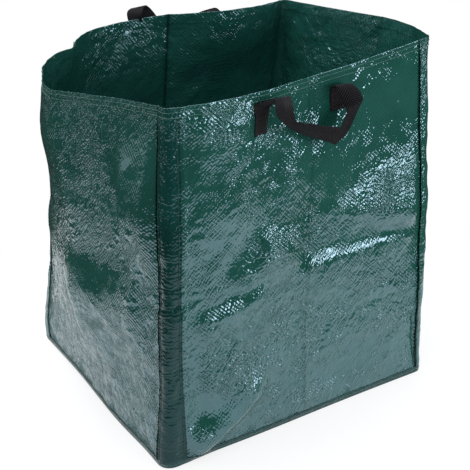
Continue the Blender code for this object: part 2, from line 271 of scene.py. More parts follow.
def place_on(wall, around, high):
    """Distances right of a wall's left corner and up, in millimetres as in the tables."""
    return wall_along(around, wall) * 1000, high * 1000


# Share of a fold's or ledge's length over which it starts and ends, and how much a
# fold's crest is blunted
FOLD_END = 0.12
LEDGE_END = 0.15
CREST_BLUNT = 0.25


def line_place(place, line):
    """Part of the way along a line, and the distance left of it."""
    start_x, start_y, end_x, end_y = line
    length = math.hypot(end_x - start_x, end_y - start_y)
    run_x = (end_x - start_x) / length
    run_y = (end_y - start_y) / length
    to_x = place[0] - start_x
    to_y = place[1] - start_y
    return (to_x * run_x + to_y * run_y) / length, to_y * run_x - to_x * run_y


def fold(place, line, width, rise):
    """A crease that stands out of the cloth, or in where rise is negative."""
    part, aside = line_place(place, line)
    ends = ease(np.minimum(part, 1 - part) / FOLD_END)
    crest = 1 - CREST_BLUNT * np.exp(-(aside / width * 2) ** 2)
    return rise * ends * np.exp(-np.abs(aside) / width) * crest


def ledge(place, line, widths, rises, reach):
    """Cloth below a line, or right of it, that stands out further than above it."""
    part, aside = line_place(place, line)
    width = np.interp(part, (0, 1), widths)
    rise = np.interp(part, (0, 1), rises)
    ends = ease((np.minimum(part, 1 - part) / LEDGE_END + 1) / 2)
    below = -aside
    step = ease(below / width + 0.5)
    fade = np.exp(-(np.maximum(below - width / 2, 0) / reach) ** 2)
    return rise * ends * step * fade


def bulge(place, x, y, radius_x, radius_y, rise):
    return rise * np.exp(-((place[0] - x) / radius_x) ** 2 - ((place[1] - y) / radius_y) ** 2)


# Creases by wall: start, end, width and rise of each, as distances right of the wall's
# left corner and up. The tables of the folds are in millimetres. The front and the left
# have the folds of the photograph.
FOLDS = {
    0: (
        (138, 374, 270, 368, 3.5, 2.2), (180, 432, 256, 430, 3, 1.4), (176, 420, 262, 418, 3, 1.6),
        (160, 402, 270, 404, 3, 1.4), (150, 388, 250, 388, 3, 1.2), (45, 286, 210, 284, 5, -2.2),
        (288, 505, 299, 430, 6, -3.4), (300, 606, 303, 565, 4, -2.6),
        (172, 625, 140, 560, 5.5, 2.2), (186, 622, 168, 550, 5.5, 2),
        (158, 632, 105, 575, 5.5, 2.2), (140, 650, 60, 600, 5.5, 2), (214, 612, 211, 520, 6, -2.6),
        (190, 637, 240, 627, 3, 2.2), (307, 698, 319, 655, 4.5, 4.5),
        (418, 644, 456, 660, 3.5, 2.2), (440, 640, 470, 668, 3.5, 2), (396, 668, 424, 690, 4, 2.2),
        (500, 560, 520, 580, 3.5, 1.8), (510, 594, 530, 614, 3.5, 1.8),
        (395, 138, 510, 118, 3, -1.6), (440, 60, 530, 108, 6, 1.4), (455, 45, 545, 80, 6, 1.4),
        (300, 0, 300, 470, 5, 3.6), (573, 150, 584, -10, 5, -6), (42, -100, 22, 800, 3.5, 2.2),
        (0, 337, 75, 346, 5, -2.4),
    ),
    1: (
        (60, 420, 230, 455, 5, 3), (300, 20, 300, 500, 7, 2.6), (330, 560, 450, 630, 5.5, 2.4),
        (340, 530, 480, 570, 5.5, 2.4), (380, 200, 520, 260, 6, -2.6), (80, 120, 200, 190, 6, 2.4),
    ),
    2: (
        (300, 20, 300, 800, 5, 6), (315, 690, 335, 480, 6, 3), (60, 350, 220, 385, 5, 3),
        (360, 300, 540, 330, 6, 3), (460, 640, 540, 560, 5.5, 2.6), (150, 110, 260, 150, 6, -2.4),
        (190, 560, 250, 500, 6, -2.4),
    ),
    3: (
        (225, 464, 345, 492, 6, -4), (440, 298, 602, 338, 5, -2.4), (300, 700, 304, 640, 3, -2),
        (380, 660, 330, 500, 10, 3), (120, 260, 260, 170, 8, 2.2), (200, 250, 360, 130, 8, 2.2),
        (310, 230, 440, 110, 8, 2), (200, 130, 330, 40, 8, 2), (530, 290, 578, 200, 6, -2),
        (525, 190, 575, 90, 6, -2), (583, -100, 567, 800, 4, -3),
    ),
}
# Ledges, below or right of which the cloth stands further out: start, end, widths and
# rises at both, and how far down it takes to come back
LEDGES = {
    0: (
        (285, 352, 590, 336, 34, 26, 9.4, 7, 70), (60, 300, 195, 332, 30, 30, 12, 12, 50),
        (120, 360, 200, 440, 50, 55, 10, 11, 60), (190, 436, 285, 420, 55, 55, 8, 8, 60),
        (30, 44, 180, 150, 72, 72, 29, 17.5, 20), (70, 190, 160, 200, 90, 90, 11, 11, 50),
        (350, 446, 600, 456, 10, 170, 2, 33, 45), (0, 16, 70, 18, 12, 12, 4.5, 3, 20),
        (240, 615, 400, 590, 100, 100, 9, 9, 90), (0, 672, 150, 682, 50, 50, 12, 12, 80),
    ),
    1: (
        (80, 600, 320, 560, 70, 70, 11, 11, 100), (280, 350, 560, 370, 40, 70, 9, 11, 110),
        (60, 260, 240, 220, 60, 60, 9, 9, 70),
    ),
    2: (
        (40, 600, 260, 560, 80, 60, 11, 9, 100), (330, 500, 560, 460, 80, 90, 12, 12, 100),
        (100, 250, 480, 230, 60, 60, 10, 10, 80),
    ),
    3: (
        (250, 320, 510, 360, 130, 85, 22, 15, 100), (110, 640, 290, 660, 120, 110, 14, 10, 60),
        (460, 580, 600, 590, 170, 170, 21, 21, 100), (210, 478, 350, 500, 14, 14, 3.5, 3.5, 30),
    ),
}
# Broad bulges and dents: middle, radii and rise
BULGES = {
    0: ((350, 30, 150, 30, 3), (120, 510, 100, 80, 9)),
    1: ((0, 370, 90, 190, 6),),
    2: ((495, 715, 85, 150, 17), (600, 705, 18, 120, -8)),
    3: (
        (85, 705, 66, 100, 10), (20, 560, 90, 50, -4), (20, 445, 90, 60, -9), (20, 340, 70, 35, 2),
        (20, 210, 90, 80, -9),
    ),
}
# Places where the foot of the walls stands out of its line: middle, radii and rise
FOOT_BULGES = {
    0: ((0, 0, 60, 110, 4.5), (170, 0, 180, 110, 6.5)),
    3: ((430, 0, 170, 110, 11),),
}
# Smoother and more crinkled patches: middle, radii and how crinkled, where 1 is usual
PATCHES = {
    0: (
        (342, 635, 20, 60, 0.1), (530, 630, 130, 100, 0.15), (105, 95, 65, 50, 0.15),
        (440, 70, 120, 60, 0.6), (110, 430, 65, 50, 0.4), (330, 520, 50, 45, 0.4),
        (70, 675, 90, 30, 2), (500, 450, 65, 45, 1.8), (430, 345, 130, 12, 0.5),
        (125, 318, 65, 16, 0.4), (190, 400, 60, 35, 1.5), (120, 170, 50, 50, 1.6),
        (40, 12, 50, 14, 2), (280, 665, 120, 35, 0.75), (210, 230, 120, 80, 1.5),
    ),
    1: ((150, 550, 80, 50, 0.3), (450, 330, 90, 40, 0.35), (480, 600, 60, 60, 1.8)),
    2: (
        (150, 560, 80, 50, 0.35), (440, 430, 80, 50, 0.3), (480, 640, 50, 40, 2.2),
        (200, 380, 90, 30, 1.8),
    ),
    3: (
        (500, 590, 110, 95, 0.08), (45, 390, 70, 120, 0.5), (380, 335, 120, 45, 0.2),
        (230, 620, 80, 50, 0.2), (385, 600, 45, 90, 1.6), (560, 180, 30, 120, 1.7),
        (270, 525, 60, 30, 0.6),
    ),
}
# Patches with close ribs across them: middle, radii and strength
RIBBED = {
    0: ((490, 455, 85, 55, 1), (205, 400, 65, 40, 0.9), (110, 625, 80, 40, 0.5)),
    1: ((420, 600, 90, 50, 0.8),),
    2: ((200, 560, 80, 60, 0.8),),
    3: ((385, 600, 50, 80, 0.6),),
}
# How much painted shade darkens each wall's middle crease
CREASE_PAINTED_SHADE = (0.30, 0.30, 0.85, 0.0)

# More crinkles beside the seams, towards the foot and on the left wall
SEAM_CRINKLES = 0.3
SEAM_CRINKLE_REACH = 0.045
FOOT_CRINKLES = 0.5
FOOT_CRINKLE_TOP = 0.42
LEFT_CRINKLES = 0.9
LEFT_CRINKLE_MARGIN = 0.060
CRINKLE_LIMITS = (0.10, 2.6)
# Crumples all over the walls: cell along, cell up, seed and rise. The fine ones follow
# the patches, between two limits.
BROAD_CRUMPLES = ((0.120, 0.150, 3, 0.0050),)
FINE_CRUMPLES = ((0.045, 0.055, 5, 0.0026), (0.018, 0.022, 7, 0.0008))
CRUMPLE_LEVEL = 0.6
SLACK_LIMITS = (0.1, 1.4)
# Where ledges start beside the corners and over how much they rise, in millimetres
LEDGE_RAMP = (18, 45)
# Small waves where the strips' edges are sewn
PUCKER_PITCH = 0.010
PUCKER_DEPTH = 0.0003
PUCKER_REACH = 0.012
PUCKER_WANDER = 0.002
# The height over which the folds come in above the base seam
FOOT_HELD = 0.020
# The strips are sewn a little off the bend: right of it at the foot, left at the rim
BAND_SHIFT_FOOT = 0.010
BAND_SHIFT_RIM = -0.007


def patch_share(patches, around, high, usual):
    """A usual value all over the walls, and others in some patches."""
    found = np.full(np.broadcast(around, high).shape, usual, float)
    for wall, rows in patches.items():
        place = place_on(wall, around, high)
        for *shape, amount in rows:
            found += bulge(place, *shape, amount - usual)
    return found


def crinkled_share(around, high):
    """How crinkled the cloth is, where 1 is usual."""
    more = SEAM_CRINKLES * np.exp(-(beside_corner(around) / SEAM_CRINKLE_REACH) ** 2)
    more = more + FOOT_CRINKLES * ease(1 - high / FOOT_CRINKLE_TOP)
    left = wall_along(around, 3)
    more = more + LEFT_CRINKLES * ease(np.minimum(left, BASE - left) / LEFT_CRINKLE_MARGIN)
    return np.clip(patch_share(PATCHES, around, high, 1.0) * (1 + more), *CRINKLE_LIMITS)


def band_shift(high):
    return BAND_SHIFT_FOOT + (BAND_SHIFT_RIM - BAND_SHIFT_FOOT) * high / WALL_HEIGHT


def relief(around, high):
    """How far the folded cloth stands out from the smooth surface."""
    around, high = np.broadcast_arrays(np.asarray(around, float) % AROUND, np.asarray(high, float))
    out = patch_share(BULGES, around, high, 0.0)
    for wall in range(4):
        place = place_on(wall, around, high)
        for *line, width, rise in FOLDS[wall]:
            out += fold(place, line, width, rise)
        from_side = np.minimum(np.abs(place[0]), np.abs(BASE * 1000 - place[0]))
        seamed = ramp(from_side, *LEDGE_RAMP)
        for *line, width, end_width, rise, end_rise, reach in LEDGES[wall]:
            out += ledge(place, line, (width, end_width), (rise, end_rise), reach) * seamed
    out /= 1000
    slack = np.clip(patch_share(PATCHES, around, high, 1.0), *SLACK_LIMITS)
    out += crumpled(around, high, BROAD_CRUMPLES, CRUMPLE_LEVEL)
    out += crumpled(around, high, FINE_CRUMPLES, CRUMPLE_LEVEL) * slack
    from_edge = np.abs(np.abs(beside_corner(around) - band_shift(high)) - BAND_WIDTH / 2)
    wander = PUCKER_WANDER * smooth_noise(around / PUCKER_PITCH, high / PUCKER_PITCH / 2, 9)
    pucker = np.sin(2 * math.pi * (high + wander) / PUCKER_PITCH)
    out += PUCKER_DEPTH * pucker * np.exp(-(from_edge / PUCKER_REACH) ** 2)
    out *= 1 - np.exp(-np.maximum(high, 0) / FOOT_HELD)
    return out + patch_share(FOOT_BULGES, around, high, 0.0) / 1000


# Meshes

SHARP_ANGLE = math.radians(50)


def make_piece(name, points, faces, flat, material, body="bag"):
    """Mesh with the cloth's own flat coordinates kept at each point, for its weave. The
    flat coordinates of one face of a sheet also serve its other face."""
    mesh = bpy.data.meshes.new(name)
    mesh.from_pydata(points.tolist(), [], faces)
    mesh.update()
    mesh.shade_smooth()
    mesh.set_sharp_from_angle(angle=SHARP_ANGLE)
    kept = mesh.attributes.new("flat", "FLOAT_VECTOR", "POINT")
    kept.data.foreach_set("vector", np.resize(flat, points.shape).astype(np.float32).ravel())
    mesh.materials.append(material)
    piece = placed(name, mesh)
    if body:
        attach(piece, body)
    return piece


def keep_value(piece, name, values):
    """Keep a number at each point. The numbers of one face also serve the other."""
    kept = piece.data.attributes.new(name, "FLOAT", "POINT")
    count = len(piece.data.vertices)
    kept.data.foreach_set("value", np.resize(values, count).astype(np.float32))


def grid_faces(rows, columns, first=0, flip=False, closed=False):
    """Quads of a grid of points, with its last column joined to the first if closed."""
    row = np.arange(rows - 1)[:, None] * columns
    column = np.arange(columns if closed else columns - 1)[None, :]
    following = (column + 1) % columns
    corners = (row + column, row + following, row + columns + following, row + columns + column)
    quads = np.stack(corners, -1).reshape(-1, 4) + first
    return (quads[:, ::-1] if flip else quads).tolist()


def edge_of(rows, columns):
    """Indices round the edge of a grid of points."""
    grid = np.arange(rows * columns).reshape(rows, columns)
    return np.concatenate((grid[0, :-1], grid[:-1, -1], grid[-1, :0:-1], grid[:0:-1, 0]))


def joined(ring, other):
    """Quads between two closed rings, each given by the indices of its points."""
    return np.stack((ring, np.roll(ring, -1), np.roll(other, -1), other), -1).tolist()


def sheet_mesh(front, back):
    """Points and faces of a closed sheet between two grids; front is seen from outside."""
    rows, columns = front.shape[:2]
    points = np.concatenate((front.reshape(-1, 3), back.reshape(-1, 3)))
    count = rows * columns
    edge = edge_of(rows, columns)
    faces = grid_faces(rows, columns) + grid_faces(rows, columns, count, flip=True)
    return points, faces + joined(count + edge, edge)


def tube_faces(rows, columns):
    """Faces of a tube of closed rings, with its first and its last ring filled."""
    count = rows * columns
    ends = [list(range(columns)), list(range(count - 1, count - columns - 1, -1))]
    return grid_faces(rows, columns, flip=True, closed=True) + ends


def steps_between(start, end, longest):
    return np.linspace(start, end, max(2, math.ceil((end - start) / longest) + 1))


def fine_steps(start, end, fine_places, fine_reach):
    """Even cloth steps, with finer ones near some places."""
    values = [start]
    while values[-1] < end:
        near = any(abs(values[-1] - place) < fine_reach for place in fine_places)
        values.append(values[-1] + (SEAM_STEP if near else CLOTH_STEP))
    values = np.array(values)
    return start + (values - start) * (end - start) / (values[-1] - start)


def flat_of(around, high, depth):
    around, high, depth = np.broadcast_arrays(around, high, depth)
    return np.stack((around, high, depth), -1)


# Materials

# Colours, as pairs of a darker and a lighter one where a material mixes two
WHITE = (1, 1, 1, 1)
WALL_GREENS = ((0.0090, 0.066, 0.052, 1), (0.0150, 0.088, 0.072, 1))
BASE_GREENS = ((0.0030, 0.028, 0.024, 1), (0.0055, 0.044, 0.037, 1))
# Greens of the front left strip, darker than the wall's as painted shade
SHADED_BAND_GREENS = ((0.0045, 0.042, 0.036, 1), (0.0085, 0.066, 0.056, 1))
# Dark colour that painted shade blends the cloth towards
PAINTED_SHADE_DARK = (0.0008, 0.0060, 0.0055, 1.0)
STRIP_THREAD_GREENS = ((0.010, 0.050, 0.040, 1), (0.045, 0.130, 0.110, 1))
THREAD_GREENS = ((0.030, 0.120, 0.095, 1), (0.180, 0.340, 0.300, 1))
TAB_THREAD_BROWNS = ((0.040, 0.025, 0.022, 1), (0.110, 0.060, 0.052, 1))
# Webbing black, lighter on its ribs and darker between them as painted highlight and shade
WEBBING_BLACKS_SHADED_AND_LIT = ((0.0004, 0.0004, 0.0006, 1), (0.0225, 0.0220, 0.0280, 1))

# The film on the cloth, its weave, the ribs where it is gathered and its slanted streaks,
# then the threads and the webbing
FILM_IOR = 1.7
FILM_TINT = (0.57, 0.81, 1.0, 1.0)
WEAVE_PITCH = 0.0080
WEAVE_WANDER = 0.0130
RIB_PITCH = 0.0085
RIB_WANDER = 0.022
RIB_DEPTH = 0.00040
STREAK_TURN = math.radians(52)
STREAK_SIZE = (0.022, 0.006, 1)
THREAD_DEPTH = 0.0002
WEBBING_RIB_PITCH = 0.0046
WEBBING_ZIGZAG = 0.0160
WEBBING_STRANDS = 0.8
WEBBING_DEPTH = 0.00040

# Noises: scale, detail and roughness
WANDER_NOISE = (45, 2, 0.5)
UNEVEN_NOISE = (30, 3, 0.5)
CRINKLE_NOISE = (85, 1.5, 0.45)
STREAK_NOISE = (1, 2, 0.5)
PATCHY_NOISE = (9, 4, 0.6)
ROUGH_NOISE = (25, 4, 0.5)
THREAD_NOISE = (900, 2, 0.5)
WEBBING_NOISE = (1100, 2, 0.5)
# What they are spread over: low and high of the noise, then of the value
UNEVEN_SPREAD = (0.35, 0.65, 0.20, 1.60)
PATCHY_SPREAD = (0.35, 0.65, 0.0, 0.7)
ROUGH_SPREAD = (0.30, 0.70, 0.04, 0.10)
THREAD_SPREAD = (0.35, 0.65, 0.0, 1.0)
WEBBING_SHADE_SPREAD = (-0.6, 1.4, 0.0, 1.0)
# How much the weave's dimples are painted darker and their crowns lighter: painted shade and highlight
# following the bump
DIMPLE_PAINTED_SHADE = 0.3


class Nodes:
    """Short calls for the nodes of one tree. What is fed to a socket is a constant,
    another socket, or a node, which stands for its first output."""

    def __init__(self, tree):
        self.tree = tree

    def feed(self, socket, value):
        if isinstance(value, bpy.types.Node):
            value = value.outputs[0]
        if isinstance(value, bpy.types.NodeSocket):
            self.tree.links.new(value, socket)
        else:
            socket.default_value = value

    def set(self, node, **values):
        """Feed a node's sockets by their names."""
        for name, value in values.items():
            self.feed(node.inputs[name.replace("_", " ")], value)
        return node

    def node(self, kind, *values, **settings):
        """A new node, with values fed to its first sockets."""
        made = self.tree.nodes.new("ShaderNode" + kind)
        for name, value in settings.items():
            setattr(made, name, value)
        for socket, value in zip(made.inputs, values):
            self.feed(socket, value)
        return made

    def calc(self, operation, *values):
        return self.node("Math", *values, operation=operation)

    def chain(self, operation, *values):
        """One calculation after the other, over any number of values."""
        return functools.reduce(functools.partial(self.calc, operation), values)

    def times(self, *values):
        return self.chain("MULTIPLY", *values)

    def plus(self, *values):
        return self.chain("ADD", *values)

    def wave(self, place, pitch):
        return self.calc("SINE", self.times(place, 2 * math.pi / pitch))

    def noise(self, vector, scale, detail, roughness):
        made = self.node("TexNoise")
        return self.set(made, Vector=vector, Scale=scale, Detail=detail, Roughness=roughness)

    def spread(self, value, low, high, to_low, to_high):
        return self.node("MapRange", value, low, high, to_low, to_high, interpolation_type="SMOOTHSTEP")

    def blend(self, share, first, second):
        made = self.node("Mix", share, data_type="RGBA")
        self.feed(made.inputs[6], first)
        self.feed(made.inputs[7], second)
        return made.outputs[2]

    def seen(self):
        """1 for rays from the camera, by gloss or through a piece, and 0 for others."""
        path = self.node("LightPath").outputs
        kinds = ("Is Camera Ray", "Is Glossy Ray", "Is Transmission Ray")
        return self.chain("MAXIMUM", *(path[kind] for kind in kinds))


class Shader(Nodes):
    """A new material."""

    def __init__(self, name):
        self.material = bpy.data.materials.new(name)
        self.material.use_nodes = True
        super().__init__(self.material.node_tree)
        self.surface = self.tree.nodes["Principled BSDF"]

    def attribute(self, name):
        return self.node("Attribute", attribute_name=name).outputs

    def finished(self, height, depth, **values):
        """The material, its surface given by a bump height and by the sockets' values."""
        bump = self.set(self.node("Bump"), Distance=depth, Strength=1.0, Height=height)
        self.set(self.surface, Normal=bump, **values)
        return self.material


def coated_weave(name, greens, gloss, weave, crinkles, streaks):
    """Woven tape under a glossy film: dimples between the tapes, slanted streaks, ribs
    where the cloth is gathered, and fine crinkles, with the depths of all but the ribs.
    Its colour has painted shade in the dimples and painted highlight on their crowns,
    and it is darkened and loses gloss where the painted shade attribute marks it."""
    shader = Shader(name)
    flat = shader.attribute("flat")["Vector"]
    crinkled = shader.attribute("crinkled")["Fac"]
    ribbed = shader.attribute("ribbed")["Fac"]
    groove = shader.attribute("groove")["Fac"]
    around, high = shader.node("SeparateXYZ", flat).outputs[:2]
    wander = shader.noise(flat, *WANDER_NOISE)
    shift = shader.times(shader.calc("SUBTRACT", wander, 0.5), WEAVE_WANDER)
    across = shader.wave(shader.plus(around, shift), WEAVE_PITCH)
    upward = shader.wave(shader.calc("SUBTRACT", high, shift), WEAVE_PITCH)
    dimples = shader.times(across, upward)
    uneven = shader.spread(shader.noise(flat, *UNEVEN_NOISE), *UNEVEN_SPREAD)
    slanted = shader.set(shader.node("Mapping", vector_type="TEXTURE"), Vector=flat,
                         Rotation=(0, 0, STREAK_TURN), Scale=STREAK_SIZE)
    height = shader.times(shader.plus(
        shader.times(dimples, uneven, weave),
        shader.times(shader.noise(flat, *CRINKLE_NOISE), crinkles),
        shader.times(shader.noise(slanted, *STREAK_NOISE), streaks),
    ), crinkled)
    ribs = shader.wave(shader.plus(high, shader.times(wander, RIB_WANDER)), RIB_PITCH)
    height = shader.plus(height, shader.times(ribs, ribbed, RIB_DEPTH))
    patchy = shader.spread(shader.noise(flat, *PATCHY_NOISE), *PATCHY_SPREAD)
    # Random patchy tone, plus painted shade in the dimples and painted highlight on their crowns
    tone_and_dimple_shade = shader.plus(patchy, shader.times(dimples, DIMPLE_PAINTED_SHADE))
    tone_and_dimple_shade.use_clamp = True
    # Painted shade: marked places are blended towards a dark colour and lose their gloss
    colour = shader.blend(groove, shader.blend(tone_and_dimple_shade, *greens), PAINTED_SHADE_DARK)
    shine = shader.times(shader.calc("SUBTRACT", 1.0, groove), gloss)
    rough = shader.spread(shader.noise(flat, *ROUGH_NOISE), *ROUGH_SPREAD)
    return shader.finished(height, 1.0, Base_Color=colour, Roughness=rough, IOR=FILM_IOR,
                           Specular_IOR_Level=shine, Specular_Tint=FILM_TINT)


def twisted_thread(name, colours):
    shader = Shader(name)
    strands = shader.noise(shader.attribute("flat")["Vector"], *THREAD_NOISE)
    colour = shader.blend(shader.spread(strands, *THREAD_SPREAD), *colours)
    return shader.finished(strands, THREAD_DEPTH, Base_Color=colour, Roughness=0.5,
                           Specular_IOR_Level=0.4)


def woven_webbing(name, colours):
    """Polypropylene webbing: slanted ribs that meet in rows along it, coloured lighter on
    the ribs and darker between them as painted highlight and shade.
    """
    shader = Shader(name)
    flat = shader.attribute("flat")["Vector"]
    across, length = shader.node("SeparateXYZ", flat).outputs[:2]
    slant = shader.plus(length, shader.calc("PINGPONG", across, WEBBING_ZIGZAG))
    strands = shader.times(shader.noise(flat, *WEBBING_NOISE), WEBBING_STRANDS)
    height = shader.plus(shader.wave(slant, WEBBING_RIB_PITCH), strands)
    colour = shader.blend(shader.spread(height, *WEBBING_SHADE_SPREAD), *colours)
    return shader.finished(height, WEBBING_DEPTH, Base_Color=colour, Roughness=0.55,
                           Specular_IOR_Level=0.12)


wall_cloth = coated_weave("coated_woven_green", WALL_GREENS,
                          gloss=1.0, weave=0.00030, crinkles=0.0020, streaks=0.0013)
# Duller copy of the wall cloth for the front left strip, its darker colour painted shade
shaded_band_cloth = coated_weave("coated_woven_strip_shaded", SHADED_BAND_GREENS,
                          gloss=0.43, weave=0.00014, crinkles=0.0022, streaks=0.0)
base_cloth = coated_weave("coated_woven_base", BASE_GREENS,
                          gloss=0.4, weave=0.00020, crinkles=0.0022, streaks=0.0)
green_thread = twisted_thread("thread_green", THREAD_GREENS)
strip_thread = twisted_thread("thread_on_strip", STRIP_THREAD_GREENS)
tab_thread = twisted_thread("thread_on_webbing", TAB_THREAD_BROWNS)
black_webbing = woven_webbing("webbing_black", WEBBING_BLACKS_SHADED_AND_LIT)


# Walls, base and strips

# How far from a corner the strips' edges lie, and how far from them and from the rim's
# stitch rows the cloth is finer
STRIP_EDGE = 0.029
EDGE_REACH = 0.012
RIM_REACH = 0.008
HEM_STEP = 0.003
HEM_FACETS = 6
CREASE_WIDTH = 0.0028


def sewn_sheet(name, around, high, out, facing, flat, cloth, node, size, rests_on, **values):
    """A sheet of cloth from its middle surface and the way its outer face looks, as in
    high and in out, with values for its material."""
    front, back = (laid(around, high + facing[0] * half, out + facing[1] * half)
                   for half in (FABRIC / 2, -FABRIC / 2))
    points, faces = sheet_mesh(front, back)
    piece = make_piece(name, points, faces, flat, cloth)
    for kept, value in values.items():
        keep_value(piece, kept, np.broadcast_to(value, front.shape[:2]))
    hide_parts(node)


def folded_hem_rows():
    """The sheet's middle line, up the wall, over the rim and down inside: high, out, and
    the way its outer face looks, as (in high, in out)."""
    turn = (FABRIC + GAP) / 2
    top = WALL_HEIGHT - turn
    rim_rows = [WALL_HEIGHT - depth for depth in RIM_ROW_DEPTHS]
    rows = [(high, 0.0, 0.0, 1.0) for high in fine_steps(WALL_FOOT, top, rim_rows, RIM_REACH)]
    for angle in math.pi * np.arange(1, HEM_FACETS) / HEM_FACETS:
        up = math.sin(angle)
        out = math.cos(angle)
        rows.append((top + turn * up, turn * (out - 1), up, out))
    inner = steps_between(WALL_HEIGHT - HEM_HEIGHT, top, HEM_STEP)
    rows += [(high, -2 * turn, 0.0, -1.0) for high in inner[::-1]]
    return np.array(rows)


def build_wall(wall):
    """One wall, with its hem turned to the inside, as one sheet."""
    along = fine_steps(GAP / 2, BASE - GAP / 2, (STRIP_EDGE, BASE - STRIP_EDGE), EDGE_REACH)
    around = (wall * BASE + along)[None]
    high, out, *facing = folded_hem_rows().T[:, :, None]
    length = length_along(np.hstack((high, out)))[:, None]
    sewn_sheet(
        WALL_NAMES[wall] + "_wall", around, high, out, facing,
        flat_of(around, length, 0.0), wall_cloth,
        node=WALL_NAMES[wall] + "_panel",
        size=(BASE, WALL_HEIGHT + HEM_HEIGHT),
        rests_on=["base_panel"],
        crinkled=crinkled_share(around, high),
        ribbed=patch_share(RIBBED, around, high, 0.0),
        # Painted shade along the wall's middle crease
        groove=CREASE_PAINTED_SHADE[wall] * np.exp(-((along - BASE / 2) / CREASE_WIDTH) ** 2),
    )


# A strip's mesh, its crown, and how its edges stand off: side, rise and reach
BAND_COLUMNS = 37
BAND_STEP = 0.0035
BAND_CROWN = 0.0007
BAND_LIFTS = ((-1, 0.0024, 0.0050), (1, 0.0008, 0.0030))
# A strip is ribbed, and more crinkled towards the rim. Painted shadow darkens its left
# edge up to below the rim, and painted shade darkens the front left strip's lower part,
# both also less glossy. A ramp is a start and a run.
BAND_RIBBED = 0.40
BAND_CRINKLES = 1.6
BAND_CRINKLE_RAMP = (0.56, 0.10)
EDGE_SHADOW_RAMP = (-0.0038, 0.0016)
EDGE_SHADOW_TOP_RAMP = (0.026, 0.012)
FOOT_SHADE_SHARE = 0.42
FOOT_SHADE_RAMP = (0.40, 0.24)


def build_band(corner):
    """Strip over a corner, its left edge standing off a little."""
    half_width = BAND_WIDTH / 2
    across = np.linspace(-half_width, half_width, BAND_COLUMNS)
    high = steps_between(BAND_FOOT, BAND_TOP, BAND_STEP)[:, None]
    around = corner * BASE + across + band_shift(high)
    out = BAND_OUT + BAND_CROWN * np.cos(across / BAND_WIDTH * math.pi) ** 2
    for side, rise, reach in BAND_LIFTS:
        out += rise * ease((side * across - half_width) / reach + 1)
    # Painted shadow of the gap under the strip's lifted left edge, up to below the rim
    edge = ramp(-half_width - across, *EDGE_SHADOW_RAMP) * ramp(BAND_TOP - high, *EDGE_SHADOW_TOP_RAMP)
    # Painted shade on the front left strip's lower part, which also loses gloss
    foot_shade = FOOT_SHADE_SHARE * (1 - ramp(high, *FOOT_SHADE_RAMP)) if corner == 0 else 0
    sewn_sheet(
        "corner_strip_" + CORNER_NAMES[corner], around, high, out, (0, 1),
        flat_of(across + corner, high, 0.0), shaded_band_cloth if corner == 0 else wall_cloth,
        node="corner_band_" + CORNER_NAMES[corner],
        size=(BAND_WIDTH, BAND_TOP - BAND_FOOT),
        rests_on=[WALL_NAMES[corner] + "_panel", WALL_NAMES[corner - 1] + "_panel"],
        crinkled=1 + BAND_CRINKLES * ramp(high, *BAND_CRINKLE_RAMP),
        ribbed=BAND_RIBBED,
        groove=np.maximum(edge, foot_shade),
    )


def square_around(x, y):
    """Distance round the edge of a square from -1 to 1, as part of the bag's way round."""
    side = np.select((y <= -np.abs(x), x >= np.abs(y), y >= np.abs(x)), (0, 1, 2), 3)
    along = np.select((side == 0, side == 1, side == 2), (x, y, -x), -y)
    size = np.maximum(np.maximum(np.abs(x), np.abs(y)), 1e-9)
    return (side + (along / size + 1) / 2) * BASE


# Creases of the base along each middle and both diagonals, as rise and width, its
# wrinkles as layers, the share of its half width over which they come in from its edge,
# and the rows of its turned-up edge
BASE_CREASES = ((0.0022, 0.008), (0.0020, 0.008), (0.0016, 0.007))
BASE_WRINKLES = ((0.070, 0.070, 21, 0.0030), (0.025, 0.025, 23, 0.0012))
BASE_WRINKLE_LEVEL = 0.45
BASE_EDGE_SHARE = 0.16
LIP_HEIGHTS = (0.0012, 0.0028, 0.0050, 0.0080, 0.0105, LIP_HEIGHT)


def base_lift(points, size):
    """Creases of the base from its days folded flat; its edge stays on the floor."""
    x, y = points[..., 0], points[..., 1]
    lift = crumpled(x, y, BASE_WRINKLES, BASE_WRINKLE_LEVEL)
    for off, (rise, width) in zip((x, y, np.abs(x) - np.abs(y)), BASE_CREASES):
        lift += rise * np.exp(-np.abs(off) / width)
    return np.maximum(lift, 0) * ease((1 - size) / BASE_EDGE_SHARE)


